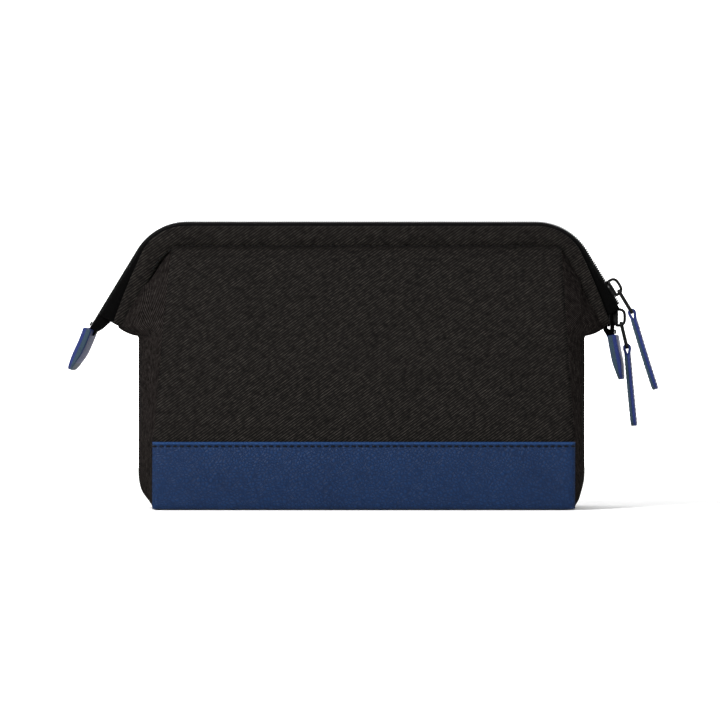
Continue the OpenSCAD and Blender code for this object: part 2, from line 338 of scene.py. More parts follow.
def woven_cloth(name, dark, light, lean=-1, wrap=0, rib_mm=1.4, specular=0.05):
    """Twill of polyester yarn: slanted ribs that catch the light over a matte ground.

    The ribs are drawn at 1.4 mm, about three times too coarse, so that they still show.
    With wrap 1 they run on round a side, from the front's width into the bag's depth."""
    m, tree, shader = new_material(name, 0.85, specular)
    coordinates, xyz = position(tree)
    turn = 2 * math.pi / (rib_mm * MM)
    depth = maths(tree, "MULTIPLY", maths(tree, "SIGN", xyz.outputs[0]), xyz.outputs[1])
    width = maths(tree, "ADD", xyz.outputs[0], maths(tree, "MULTIPLY", depth, wrap))
    across = maths(tree, "MULTIPLY", width, lean * 0.57)
    rib = maths(tree, "ADD", across, maths(tree, "MULTIPLY", xyz.outputs[2], 0.82))
    rib_wave = maths(tree, "SINE", maths(tree, "MULTIPLY", rib, turn))
    yarn = maths(tree, "ADD", maths(tree, "MULTIPLY", across, -1.4), xyz.outputs[2])
    yarn_wave = maths(tree, "SINE", maths(tree, "MULTIPLY", yarn, turn * 1.3))
    weave = maths(tree, "ADD", maths(tree, "MULTIPLY", rib_wave, 0.34),
                  maths(tree, "MULTIPLY", yarn_wave, 0.16))
    weave = maths(tree, "ADD", weave, 0.5)
    slub = add(tree, "ShaderNodeTexNoise", in_2=420.0, in_3=2.0, links={0: coordinates})
    tone = maths(tree, "MULTIPLY", maths(tree, "MULTIPLY", weave, slub.outputs[0]), 1.9)
    tone = maths(tree, "POWER", tone, 1.7)
    tree.links.new(colour_mix(tree, tone, dark, light), shader.inputs["Base Color"])
    bump(tree, tone, shader, 0.2, 0.6)
    return m


def pebbled_leather(name, dark, light, pebble_mm=1.8, roughness=0.45, depth_mm=0.2, fold_highlight_mm=None):
    """Embossed and dyed cowhide: round pebbles with darker creases, and a soft waxed gloss.

    The last argument is the height of a folded edge, where a paler band is painted in as the highlight
    along the fold."""
    m, tree, shader = new_material(name, roughness, 0.1)
    coordinates, xyz = position(tree)
    wander = add(tree, "ShaderNodeTexNoise", in_2=90.0, in_3=2.0, links={0: coordinates})
    shift = add(tree, "ShaderNodeVectorMath", operation="SCALE", links={0: wander.outputs[1]})
    shift.inputs[3].default_value = 0.004
    moved = add(tree, "ShaderNodeVectorMath", operation="ADD",
                links={0: coordinates, 1: shift.outputs[0]})
    cells = add(tree, "ShaderNodeTexVoronoi", feature="DISTANCE_TO_EDGE",
                links={0: moved.outputs[0]})
    cells.inputs["Scale"].default_value = 1 / (pebble_mm * MM)
    crease = maths(tree, "MINIMUM", maths(tree, "MULTIPLY", cells.outputs[0], 3.0), 1.0)
    pebble = maths(tree, "POWER", crease, 0.6)
    fine = add(tree, "ShaderNodeTexNoise", in_2=1400.0, in_3=2.0, links={0: coordinates})
    height = maths(tree, "ADD", pebble, maths(tree, "MULTIPLY", fine.outputs[0], 0.25))
    cloud = add(tree, "ShaderNodeTexNoise", in_2=35.0, in_3=3.0, links={0: coordinates})
    tone = maths(tree, "ADD", maths(tree, "MULTIPLY", pebble, 0.55),
                 maths(tree, "MULTIPLY", cloud.outputs[0], 0.45))
    # A painted highlight: the leather within about 1.7 mm of the fold's height is painted paler, for the
    # light along the folded top edge.
    if fold_highlight_mm:
        above = maths(tree, "SUBTRACT", xyz.outputs[2], (fold_highlight_mm - 1.7) * MM)
        painted_fold_highlight = maths(tree, "MINIMUM", maths(tree, "MAXIMUM", maths(tree, "MULTIPLY", above, 1600), 0), 1)
        tone = maths(tree, "ADD", tone, painted_fold_highlight)
    tree.links.new(colour_mix(tree, tone, dark, light), shader.inputs["Base Color"])
    bump(tree, height, shader, depth_mm, 1.0)
    return m


def ribbed_tape(name, dark, light, rib_mm=0.7):
    """Woven zipper tape: fine ribs across its width, dull black."""
    m, tree, shader = new_material(name, 0.95, 0.05)
    coordinates, xyz = position(tree)
    turn = 2 * math.pi / (rib_mm * MM)
    along = maths(tree, "ADD", xyz.outputs[0], xyz.outputs[2])
    wave = maths(tree, "SINE", maths(tree, "MULTIPLY", along, turn))
    wave = maths(tree, "ADD", maths(tree, "MULTIPLY", wave, 0.5), 0.5)
    fuzz = add(tree, "ShaderNodeTexNoise", in_2=900.0, links={0: coordinates})
    tone = maths(tree, "MULTIPLY", wave, fuzz.outputs[0])
    tree.links.new(colour_mix(tree, tone, dark, light), shader.inputs["Base Color"])
    bump(tree, tone, shader, 0.12)
    return m


def coated_metal(name, dark, light, roughness=0.32):
    """Zinc die casting with black enamel: smooth and glossy, slightly mottled where it is handled."""
    m, tree, shader = new_material(name, roughness, 0.15)
    coordinates, _ = position(tree)
    wear = add(tree, "ShaderNodeTexNoise", in_2=420.0, in_3=4.0, links={0: coordinates})
    tree.links.new(colour_mix(tree, wear.outputs[0], dark, light), shader.inputs["Base Color"])
    bump(tree, wear.outputs[0], shader, 0.04)
    return m


def spun_thread(name, dark, light, twist_mm=0.5):
    """Bonded sewing thread: a tight twist with a faint sheen."""
    m, tree, shader = new_material(name, 0.7, 0.15)
    _, xyz = position(tree)
    along = maths(tree, "ADD", xyz.outputs[0], maths(tree, "MULTIPLY", xyz.outputs[2], 0.7))
    wave = maths(tree, "SINE", maths(tree, "MULTIPLY", along, 2 * math.pi / (twist_mm * MM)))
    tone = maths(tree, "ADD", maths(tree, "MULTIPLY", wave, 0.5), 0.5)
    tree.links.new(colour_mix(tree, tone, dark, light), shader.inputs["Base Color"])
    return m


def moulded_nylon(name, dark, light):
    """Extruded nylon monofilament for the coil: smooth, with small bright highlights."""
    m, tree, shader = new_material(name, 0.5, 0.15)
    coordinates, _ = position(tree)
    grain = add(tree, "ShaderNodeTexNoise", in_2=1200.0, links={0: coordinates})
    tree.links.new(colour_mix(tree, grain.outputs[0], dark, light), shader.inputs["Base Color"])
    return m


CLOTH = woven_cloth("black_woven_twill", "#020202", "#2a2724")
# The side's copy of the twill: its ribs run round the side, and its colours are painted a little lighter
# than the front's, as painted light on the sides.
SIDE_CLOTH_PAINTED_LIGHTER = woven_cloth("black_woven_twill_side_painted_lighter", "#030303", "#302c2a", 1, 1, specular=0.0)
# The band's leather, with a painted highlight along its folded top edge.
LEATHER = pebbled_leather("navy_pebbled_leather", "#05122a", "#132b4e", fold_highlight_mm=BAND_H)
PULL_LEATHER = pebbled_leather("navy_strap_leather", "#161f47", "#28346b", 1.1, 0.5, 0.1)
EDGE_PAINT = pebbled_leather("painted_leather_edge", "#1c2a36", "#364754", 0.9, 0.55, 0.1)
TAPE = ribbed_tape("zipper_tape_weave", "#010101", "#070707")
COIL = moulded_nylon("zipper_coil_nylon", "#010101", "#050505")
METAL = coated_metal("black_enamelled_zinc", "#010101", "#050505")
STEEL = coated_metal("blued_spring_steel", "#4b4e52", "#83868a", 0.4)
LINING = woven_cloth("grey_lining_cloth", "#2c2f33", "#5d6166", 1, 1, 0.9)
BOARD = woven_cloth("pressed_fibre_board", "#4a3a29", "#7a654a", 1, 0, 2.0)
NAVY_THREAD = spun_thread("navy_thread", "#010205", "#050a16")
BLACK_THREAD = spun_thread("black_thread", "#020202", "#080807")


def dress(piece, material, slot, body, *replaced, inside=None):
    """Gives a piece its material and body, and hides the plain nodes it stands for.

    A sheet's inner face has the second material, which is the first again if none is given."""
    piece.data.materials.clear()
    piece.data.materials.append(material)
    piece.data.materials.append(inside or material)
    if replaced:
        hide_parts(*replaced)
    if body:
        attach(piece, body)
    return piece


# ---------------------------------------------------------------- what repeats, by Geometry Nodes


def repeat_tree(name, make_unit):
    """A tree that lays a unit along the piece's line at a pitch, turned to follow it."""
    tree = bpy.data.node_groups.new(name, "GeometryNodeTree")
    tree.interface.new_socket("Geometry", in_out="INPUT", socket_type="NodeSocketGeometry")
    for label, value in (("Pitch", 0.0035), ("Length", 0.0026), ("Thickness", 0.0006)):
        s = tree.interface.new_socket(label, in_out="INPUT", socket_type="NodeSocketFloat")
        s.default_value = value
    tree.interface.new_socket("Material", in_out="INPUT", socket_type="NodeSocketMaterial")
    tree.interface.new_socket("Geometry", in_out="OUTPUT", socket_type="NodeSocketGeometry")
    source = add(tree, "NodeGroupInput").outputs
    curve = add(tree, "GeometryNodeMeshToCurve", links={0: source["Geometry"]})
    spaced = add(tree, "GeometryNodeResampleCurve", mode="LENGTH", links={0: curve.outputs[0]})
    tree.links.new(source["Pitch"], spaced.inputs["Length"])
    unit = make_unit(tree, source)
    tangent = add(tree, "GeometryNodeInputTangent")
    turn = add(tree, "FunctionNodeAlignRotationToVector", axis="X",
               links={"Vector": tangent.outputs[0]})
    laid = add(tree, "GeometryNodeInstanceOnPoints",
               links={"Points": spaced.outputs[0], "Instance": unit, "Rotation": turn.outputs[0]})
    real = add(tree, "GeometryNodeRealizeInstances", links={0: laid.outputs[0]})
    finish = add(tree, "GeometryNodeSetMaterial", links={0: real.outputs[0]})
    tree.links.new(source["Material"], finish.inputs["Material"])
    add(tree, "NodeGroupOutput", links={0: finish.outputs[0]})
    return tree


def stitch_unit(tree, source):
    """One stitch: a short fat capsule of thread."""
    ball = add(tree, "GeometryNodeMeshUVSphere", in_0=8, in_1=6, in_2=0.5)
    size = add(tree, "ShaderNodeCombineXYZ",
               links={0: source["Length"], 1: source["Thickness"], 2: source["Thickness"]})
    scaled = add(tree, "GeometryNodeTransform", links={0: ball.outputs[0], "Scale": size.outputs[0]})
    return scaled.outputs[0]


def coil_unit(tree, source):
    """One turn of coil: a rounded bar across the tape."""
    bar = add(tree, "GeometryNodeMeshUVSphere", in_0=8, in_1=6, in_2=0.5)
    half = add(tree, "ShaderNodeMath", operation="MULTIPLY", in_1=0.55, links={0: source["Length"]})
    width = add(tree, "ShaderNodeMath", operation="MULTIPLY", in_1=0.8, links={0: source["Thickness"]})
    size = add(tree, "ShaderNodeCombineXYZ",
               links={0: width.outputs[0], 1: source["Length"], 2: half.outputs[0]})
    scaled = add(tree, "GeometryNodeTransform", links={0: bar.outputs[0], "Scale": size.outputs[0]})
    return scaled.outputs[0]


STITCHES = repeat_tree("stitch_row", stitch_unit)
COIL_TURNS = repeat_tree("coil_row", coil_unit)


def laid_along(name, lines, tree, material, pitch, length, thickness):
    """Bakes a row of units along one or more lines of points into a plain mesh piece."""
    mesh = bpy.data.meshes.new(name + "_line")
    points, edges = [], []
    for line in lines:
        start = len(points)
        points += [Vector(p) * MM for p in line]
        edges += [(start + i, start + i + 1) for i in range(len(line) - 1)]
    mesh.from_pydata(points, edges, [])
    guide = put_in_scene(name + "_line", mesh)
    modifier = guide.modifiers.new("row", "NODES")
    modifier.node_group = tree
    sizes = {"Pitch": pitch * MM, "Length": length * MM, "Thickness": thickness * MM,
             "Material": material}
    for socket in tree.interface.items_tree:
        if socket.in_out == "INPUT" and socket.name in sizes:
            modifier[socket.identifier] = sizes[socket.name]
    bpy.context.view_layer.update()
    depsgraph = bpy.context.evaluated_depsgraph_get()
    baked = bpy.data.meshes.new_from_object(guide.evaluated_get(depsgraph))
    baked.name = name
    for polygon in baked.polygons:
        polygon.use_smooth = True
    bpy.data.objects.remove(guide)
    return put_in_scene(name, baked)


# ---------------------------------------------------------------- the cloth body


def ripple(p, size_mm, seed):
    """A small smooth wander, from -1 to 1, for cloth that isn't quite flat."""
    return noise.noise(Vector(p) / size_mm + Vector((seed, seed * 0.7, 0)))


def front_point(u, z):
    """A point of the front cloth: u from -1 to 1 across it."""
    x = u * seam_x(z)
    swell = 1.6 * (1 - u ** 4) * math.sin(math.pi * min(max((z - 6) / 150, 0), 1))
    y = -half_depth(z) + 0.2 - swell * 0.5
    y += 0.5 * ripple((x, 0, z), 60, 3.1) * (1 - u ** 6)
    # The cloth turns in to the side seam
    y += 1.1 * max(abs(u) - 0.965, 0) / 0.035
    return Vector((x, y, z))


def front_cloth():
    rows, cols = 64, 97
    top = CROWN_Z + 1.2
    grid = []
    for r in range(rows):
        z = 3 + (top - 3) * r / (rows - 1)
        grid.append([front_point(2 * c / (cols - 1) - 1, z) for c in range(cols)])
    return cloth_slab("front_cloth", grid, CLOTH_T, lambda p: (0, 1, 0))


WING_FOOT = Vector((leg_x(WING_FOOT_Z, WING_INSET), -FACING_Y + 1.0, WING_FOOT_Z))


def foot_curve(z):
    """How far the side rounds in towards the base."""
    return FOOT_ROUND * max(1 - z / FOOT_ROUND_H, 0) ** 2.75


def side_outer_edge(h):
    """The line down the middle of the side and out along the wing to the mouth's leg."""
    if h <= FOLD_START:
        z = SIDE_FOOT_Z + (SIDE_FOLD_Z - SIDE_FOOT_Z) * h / FOLD_START
        return Vector((SIDE_X - 0.4 - foot_curve(z), 0, z))
    if h <= FOLD_END:
        t = (h - FOLD_START) / 0.1
        p = Vector((SIDE_X - 0.4, 0, SIDE_FOLD_Z)).lerp(WING_FOOT, t)
        p.z -= 1.0 * math.sin(math.pi * t)
        return p
    t = (h - FOLD_END) / 0.4
    bend = bend_point(WING_INSET)
    length = (bend.z - WING_FOOT.z) / math.sin(LEG_ANGLE)
    arc = (MOUTH_CORNER_R - WING_INSET) * LEG_ANGLE * 0.36
    travelled = t * (length + arc)
    if travelled <= length:
        k = travelled / length
        top = Vector((bend.x, RIDGE_TUCK_Y, bend.z))
        p = WING_FOOT.lerp(top, k)
        p.y -= 4.0 * ease(0, 0.22, k) * (1 - k)
        return p
    turn = LEG_ANGLE - (travelled - length) / (MOUTH_CORNER_R - WING_INSET)
    n = Vector((math.sin(turn), 0, math.cos(turn)))
    p = CORNER_C + n * (MOUTH_CORNER_R - WING_INSET)
    p.y = RIDGE_TUCK_Y
    return p


def side_seam_edge(h):
    """The seam to the front cloth, at the same height of the side's grid."""
    if h <= FOLD_START:
        z = SIDE_FOOT_Z + (SIDE_FOLD_Z - SIDE_FOOT_Z) * h / FOLD_START
    elif h <= FOLD_END:
        z = SIDE_FOLD_Z + (SEAM_FOLD_Z - SIDE_FOLD_Z) * (h - FOLD_START) / 0.1
    else:
        z = SEAM_FOLD_Z + (CROWN_Z - 1.6 - SEAM_FOLD_Z) * (h - FOLD_END) / 0.4
    return Vector((seam_x(z) + 0.2, -half_depth(z) + 1.2, z))


def side_cloth_quarter(name):
    """The front half of the right side, from the base up into the wing."""
    rows, cols = 100, 30
    grid = []
    for r in range(rows):
        h = r / (rows - 1)
        seam, edge = side_seam_edge(h), side_outer_edge(h)
        fold = ease(0.44, 0.66, h)
        row = []
        for c in range(cols):
            s = c / (cols - 1)
            round_out = 2 * s - s * s
            slack = s + 0.10 * math.sin(math.pi * s)
            across = (1 - fold) * round_out + fold * slack
            p = Vector((
                seam.x + (edge.x - seam.x) * across,
                seam.y + (edge.y - seam.y) * s,
                seam.z + (edge.z - seam.z) * s,
            ))
            p.x += 0.8 * ripple(p, 40, 8.3) * math.sin(math.pi * s)
            row.append(p)
        grid.append(row)
    return cloth_slab(name, grid, SIDE_CLOTH_T, lambda p: (-1, 0.2, 0))


def facing():
    """The sleeve over the frame strip, a soft-edged band that narrows at its lower ends."""
    rings = []
    for p, n in arch_path(FACING_END_Z + 2, FACING_END_Z + 2):
        outer = facing_edge(p.z)
        inner = FACING_IN + 0.4
        middle, half_w = (outer + inner) / 2, (inner - outer) / 2
        half_t = (RIDGE_HALF_D - FACING_Y) / 2
        mid_y = -(RIDGE_HALF_D + FACING_Y) / 2
        ring = []
        for across, through in rounded_section(half_w, half_t, 1.1):
            crown = 0.3 * (1 - (across / half_w) ** 2) if through < 0 else 0
            # The lower edge is pressed thin so that the wall below runs on from it
            crown -= 0.9 * max(across / half_w, 0) ** 3 if through < 0 else 0
            ring.append(p - n * (middle + across) + Vector((0, mid_y + through - crown, 0)))
        rings.append(ring)
    return tube("facing_front_cloth", rings)


def zip_tape():
    """One side of the zipper tape: flat beside the coil, then turned down into the facing."""
    rings = []
    for p, n in arch_path(FACING_END_Z + 1.8, FACING_END_Z + 5.5):
        down = facing_edge(p.z) + 1.2
        centre = [(0.65, 0.85), (2.4, 0.85), (4.2, 1.0), (5.1, 1.7), (5.45, 3.0), (5.5, 1.0 + down)]
        outer = [(y + TAPE_T * 0.5 * (i > 2), k - TAPE_T * 0.5) for i, (y, k) in enumerate(centre)]
        inner = [(y - TAPE_T * 0.5 * (i > 2), k + TAPE_T * 0.5) for i, (y, k) in enumerate(centre)]
        rings.append([p - n * k + Vector((0, -y, 0)) for y, k in outer + inner[::-1]])
    return tube("zip_tape_front_woven", rings)


def join(name, *pieces):
    """Makes one piece of several."""
    points, faces = [], []
    for piece in pieces:
        start = len(points)
        points += [v.co / MM for v in piece.data.vertices]
        faces += [tuple(start + i for i in f.vertices) for f in piece.data.polygons]
        bpy.data.objects.remove(piece)
    return new_piece(name, points, faces)


def coil_rows(name, path, side, offset=0.0):
    """Nylon coil turns along one tape over their core; the two sides' turns lie between each other."""
    along = (path[1][0] - path[0][0]).normalized() * offset
    line = [p + n * 0.05 + along + Vector((0, side * 1.0, 0)) for p, n in path]
    turns = laid_along(name + "_row", [line], COIL_TURNS, COIL, 1.3, 2.5, 1.25)
    rings = []
    for p, n in path:
        ring = rounded_section(0.85, 0.5, 0.3, 2)
        rings.append([p - n * (0.15 + t) + Vector((0, side * (1.25 + w), 0)) for w, t in ring])
    return join(name, turns, tube(name + "_core", rings))


def frame_strip():
    """The flat spring in the facing, which gives the mouth its shape."""
    rings = []
    for p, n in arch_path(FACING_END_Z + 4, FACING_END_Z + 4):
        outer, inner = facing_edge(p.z) + 1.2, FACING_IN - 1.2
        half_w, mid_y = (inner - outer) / 2, -(RIDGE_HALF_D + FACING_Y) / 2
        ring = rounded_section(half_w, 0.6, 0.5, 2)
        rings.append([p - n * ((outer + inner) / 2 + w) + Vector((0, mid_y + t, 0)) for w, t in ring])
    return tube("frame_strip_front_spring", rings)


BODY, FRONT, REAR = "bag_body", "front_mouth", "rear_mouth"

cloth = front_cloth()
rear_cloth = mirrored("rear_cloth", cloth, 1)
quarter_fr = side_cloth_quarter("side_cloth_front_right")
quarter_fl = mirrored("side_cloth_front_left", quarter_fr, 0)
quarter_rr = mirrored("side_cloth_rear_right", quarter_fr, 1)
quarter_rl = mirrored("side_cloth_rear_left", quarter_fl, 1)
sleeve = facing()
rear_sleeve = mirrored("facing_rear_cloth", sleeve, 1)
tape = zip_tape()
rear_tape = mirrored("zip_tape_rear_woven", tape, 1)

dress(cloth, CLOTH, "woven_fabric", None, "front_panel", "front_shoulder", inside=LINING)
dress(rear_cloth, CLOTH, "woven_fabric", None, "rear_panel", "rear_shoulder", inside=LINING)
dress(quarter_fr, SIDE_CLOTH_PAINTED_LIGHTER, "woven_fabric", None, "gusset_front_right", "side_panel_right", inside=LINING)
dress(quarter_fl, SIDE_CLOTH_PAINTED_LIGHTER, "woven_fabric", None, "gusset_front_left", "side_panel_left", inside=LINING)
dress(quarter_rr, SIDE_CLOTH_PAINTED_LIGHTER, "woven_fabric", None, "gusset_rear_right", inside=LINING)
dress(quarter_rl, SIDE_CLOTH_PAINTED_LIGHTER, "woven_fabric", None, "gusset_rear_left", inside=LINING)
dress(sleeve, CLOTH, "woven_fabric", FRONT, "facing_front")
dress(rear_sleeve, CLOTH, "woven_fabric", REAR, "facing_rear")
dress(tape, TAPE, "zipper_tape", FRONT, "zip_tape_front")
dress(rear_tape, TAPE, "zipper_tape", REAR, "zip_tape_rear")

arch = arch_path(ZIP_CLOSED_Z - 1, ZIP_CLOSED_Z)
dress(coil_rows("zip_coil_front_turns", arch, -1), COIL, "nylon_coil", FRONT, "zip_coil_front")
dress(coil_rows("zip_coil_rear_turns", arch, 1, 0.65), COIL, "nylon_coil", REAR, "zip_coil_rear")


def closed_zip(name, line, replaced):
    """The end of the zipper, sewn shut: flat tape, then folded thick, with the coil outside.

    line holds for each ring its point, outward normal, inner depth and half width."""
    rings = []
    for p, n, depth, half_w in line:
        half_t = (depth - 0.2) / 2
        ring = rounded_section(half_w, half_t, min(0.5, half_t * 0.9), 3)
        rings.append([p - n * (0.2 + half_t + t) + Vector((0, w, 0)) for w, t in ring])
    dress(tube(name + "_woven", rings), TAPE, "zipper_tape", BODY, replaced)
    path = [(p, n) for p, n, _, _ in line[:-1]]
    coil = join(name + "_coil", coil_rows("near", path, -1), coil_rows("far", path, 1, 0.65))
    dress(coil, COIL, "nylon_coil", BODY)


leg_out = Vector((-math.sin(LEG_ANGLE), 0, math.cos(LEG_ANGLE)))
left_line = []
for z, depth, half_w in ((118, 9.0, 3.3), (116.2, 9.2, 3.3), (111.5, 7.7, 3.3), (107.6, 6.4, 3.3),
                         (104.7, 4.5, 3.2), (102.2, 4.0, 3.0)):
    left_line.append((Vector((-leg_x(z, 0), 0, z)), leg_out, depth, half_w))
closed_zip("zip_end_left", left_line, "zip_end_left")

RIGHT_X = leg_x(ZIP_CLOSED_Z, 0) - 2.5
right_line = []
for z, depth, half_w in ((117.4, 1.9, 3.2), (110, 1.9, 3.2), (104.2, 1.9, 3.3), (103.6, 5.4, 3.3),
                         (102, 4.8, 3.3), (99.5, 3.6, 3.0)):
    right_line.append((Vector((RIGHT_X, 0, z)), Vector((1, 0, 0)), depth, half_w))
closed_zip("zip_end_right", right_line, "zip_end_right")


def tucked_tape(name, path):
    """The spare end of the tape, folded back behind the sliders and sewn down."""
    rings = []
    for x, z, half_t in path:
        ring = rounded_section(3.1, half_t, 0.5, 3)
        rings.append([Vector((x + t, w, z)) for w, t in ring])
    dress(tube(name, rings), TAPE, "zipper_tape", BODY)


tucked_tape("zip_end_right_fold", [(142.4, 118, 1.0), (142.4, 108, 1.1), (142.6, 104.6, 1.3),
                                   (144.2, 103.2, 2.5), (145.0, 101.4, 2.2), (146.0, 99.6, 1.7)])


def set_seams(*pieces):
    """Sets the sewn panels a little to the right of the frame, as they are sewn in."""
    for piece in pieces:
        for v in piece.data.vertices:
            fade = 1 - ease(0.1245, 0.129, abs(v.co.x))
            v.co.x += fade * (0.0012 + 0.0016 * min(v.co.z / 0.15, 1) ** 2)


# ---------------------------------------------------------------- leather band and base


def band_point(u, z, lift):
    """A point of the leather band: lift is how far it stands out from the cloth's line."""
    x = u * (seam_x(z) + 0.2)
    y = -half_depth(z) - lift
    return Vector((x, y, z))


def leather_band():
    """The front leather: a rolled top edge, a slight swell, and a rounded turn under the base."""
    rows, cols = 44, 121
    grid = []
    for r in range(rows):
        t = r / (rows - 1)
        z = 0.3 + (BAND_H - 0.3) * t
        lift = 1.5 + 0.35 * math.sin(math.pi * t)
        # The folded top edge stands up over the stitch row
        lift += 0.55 * math.exp(-((z - BAND_H + 1.0) / 0.9) ** 2)
        lift -= 0.5 * math.exp(-((z - BAND_H + 2.5) / 0.6) ** 2)
        lift -= 1.1 * max(1 - z / 3.5, 0) ** 2
        row = []
        for c in range(cols):
            u = 2 * c / (cols - 1) - 1
            p = band_point(u, z, lift)
            p.y += 0.9 * (max(abs(u) - 0.985, 0) / 0.015) ** 2
            p.y += 0.25 * ripple((p.x, 0, z), 30, 5.0)
            row.append(p)
        grid.append(row)
    return cloth_slab("leather_band_front_hide", grid, BAND_HIDE_T, lambda p: (0, 1, 0))


def base_leather():
    """The base: one hide with softly rounded edges, under the rounded foot of the sides."""
    outline = rounded_section(SEAM_BASE_X - 1.2, HALF_D + 0.6, 5.0, 6)
    rings = []
    for z, inset in ((0.0, 1.6), (0.25, 0.7), (0.8, 0.1), (1.6, 0.1), (1.8, 0.6)):
        rings.append([Vector((x - math.copysign(inset, x), y - math.copysign(inset, y), z))
                      for x, y in outline])
    return tube("leather_base_hide", rings)


def base_board():
    """The stiffener under the lining."""
    outline = rounded_section(SEAM_BASE_X - 4, HALF_D - 4, 5.0, 6)
    rings = [[Vector((x, y, z)) for x, y in outline] for z in (1.95, 2.2, 3.5, 3.75)]
    return tube("base_board_sheet", rings)


strip = frame_strip()
dress(strip, STEEL, "spring_steel", FRONT, "frame_strip_front")
rear_strip = mirrored("frame_strip_rear_spring", strip, 1)
dress(rear_strip, STEEL, "spring_steel", REAR, "frame_strip_rear")
dress(base_board(), BOARD, "stiffener_board", BODY, "base_board")

band = leather_band()
rear_band = mirrored("leather_band_rear_hide", band, 1)
base = base_leather()
dress(band, LEATHER, "navy_leather", BODY, "leather_band_front")
dress(rear_band, LEATHER, "navy_leather", BODY, "leather_band_rear")
dress(base, LEATHER, "navy_leather", BODY, "leather_base")


def band_stitches(name, side):
    """The stitch row under the band's folded top edge."""
    z = BAND_H - 2.5
    line = []
    for i in range(121):
        u = (2 * i / 120 - 1) * 0.99
        p = band_point(u, z, 1.5)
        line.append(Vector((p.x, p.y * side, p.z)))
    return laid_along(name, [line], STITCHES, NAVY_THREAD, 3.9, 2.8, 1.0)


def facing_stitches(name, side):
    """The topstitch along the facing's lower edge, round both corners."""
    line = []
    for p, n in arch_path(bend_point(0).z - 3, bend_point(0).z - 3):
        q = p - n * (FACING_IN - 1.2)
        line.append(Vector((q.x, side * (RIDGE_HALF_D - 0.1), q.z)))
    return laid_along(name, [line], STITCHES, BLACK_THREAD, 3.5, 2.6, 1.0)


band_thread = band_stitches("band_stitches_front", 1)
rear_band_thread = band_stitches("band_stitches_rear", -1)
dress(band_thread, NAVY_THREAD, "navy_leather", BODY)
dress(rear_band_thread, NAVY_THREAD, "navy_leather", BODY)
dress(facing_stitches("facing_stitches_front", -1), BLACK_THREAD, "woven_fabric", FRONT)
dress(facing_stitches("facing_stitches_rear", 1), BLACK_THREAD, "woven_fabric", REAR)

# ---------------------------------------------------------------- lining


def lining_wall(name, z0, z1, inset, rows):
    """The lining's upper wall, which hangs inside the cloth up to the facing."""
    cols = 41
    grid = []
    for r in range(rows):
        z = z0 + (z1 - z0) * r / (rows - 1)
        row = []
        for c in range(cols):
            u = 2 * c / (cols - 1) - 1
            x = u * (seam_x(z) - 3.0)
            y = -half_depth(z) + inset + 1.2 * ripple((x, 0, z), 28, 12.5)
            row.append(Vector((x, min(y, -RIDGE_HALF_D + 3.6), z)))
        grid.append(row)
    return cloth_slab(name, grid, LINING_T, lambda p: (0, 1, 0))


def lining_sack():
    """The loose cloth sack inside, open at the top."""
    steps = 18
    rings = []
    for z in [5 + 77 * i / 14 for i in range(15)]:
        d = half_depth(z) - 3.6
        ring = []
        for i in range(steps + 1):
            y = -d + 2 * d * i / steps
            bow = (SIDE_X - 3.8 - foot_curve(z) - seam_x(z)) * (1 - (y / d) ** 2)
            ring.append(Vector((seam_x(z) - 1.0 + bow, y, z)))
        ring += [Vector((-p.x, p.y, p.z)) for p in ring[::-1]]
        rings.append([p + Vector((0, 0.8 * ripple(p, 25, 4.4), 0)) for p in ring])
    cols = len(rings[0])
    points = [p for ring in rings for p in ring]
    inner = [Vector((p.x * 0.994, p.y * 0.985, p.z + 0.7 * (i < cols))) for i, p in enumerate(points)]
    count = len(points)
    faces = grid_faces(len(rings), cols, close_cols=True)
    faces += [tuple(i + count for i in f[::-1]) for f in faces]
    faces.append(tuple(range(cols)))
    faces.append(tuple(i + count for i in range(cols))[::-1])
    top = count - cols
    for c in range(cols):
        d = (c + 1) % cols
        faces.append((top + c, top + d, top + d + count, top + c + count))
    return outward(new_piece("lining_sack_cloth", points + inner, faces))


sack = lining_sack()
dress(sack, LINING, "lining_cloth", BODY, "lining_sack")
lining_front = lining_wall("lining_front_cloth", 80, CROWN_Z - 0.5, 3.4, 30)
lining_rear = mirrored("lining_rear_cloth", lining_front, 1)
dress(lining_front, LINING, "lining_cloth", None, "lining_shoulder_front")
dress(lining_rear, LINING, "lining_cloth", None, "lining_shoulder_rear")

# ---------------------------------------------------------------- pulls and tabs


def joint(name):
    return next(j for j in frame["joints"] if j["name"] == name)


def hanging_frame(joint_name, tilt_deg, out=1):
    """Origin, downward and outward directions of a piece that hangs from a joint at a tilt."""
    p = Vector(joint(joint_name)["pos_m"]) / MM
    t = math.radians(tilt_deg)
    down = Vector((out * math.sin(t), 0, -math.cos(t)))
    outwards = Vector((out * math.cos(t), 0, math.sin(t)))
    return p, down, outwards


# The leather hangs turned a little, so that its outer face just shows from the front
HANG_TURN = math.radians(7)
YAW = Vector((math.sin(HANG_TURN), math.cos(HANG_TURN), 0))


def strap(name, origin, down, outwards, outline, half_t, radius, bend):
    """A leather strip that hangs from its fold: outline gives its half width at each length."""
    rings = []
    for length, half_w, squeeze in outline:
        curve = bend * (length / outline[-1][0]) ** 2
        ring = []
        for across, through in rounded_section(half_w, half_t * squeeze, min(radius, half_w * 0.9)):
            ring.append(origin + down * length + outwards * (through + curve) + YAW * across)
        rings.append(ring)
    return tube(name, rings)


def round_end(length, half_w, corner, start, steps=8):
    """Outline rows of a straight strip with rounded corners at its lower end."""
    rows = [(start + (length - corner - start) * i / 14, half_w, 1.0) for i in range(15)]
    for i in range(1, steps + 1):
        a = math.pi / 2 * i / steps
        rows.append((length - corner + corner * math.sin(a),
                     max(half_w - corner + corner * math.cos(a), 0.4),
                     1 - 0.35 * (i / steps) ** 4))
    return rows


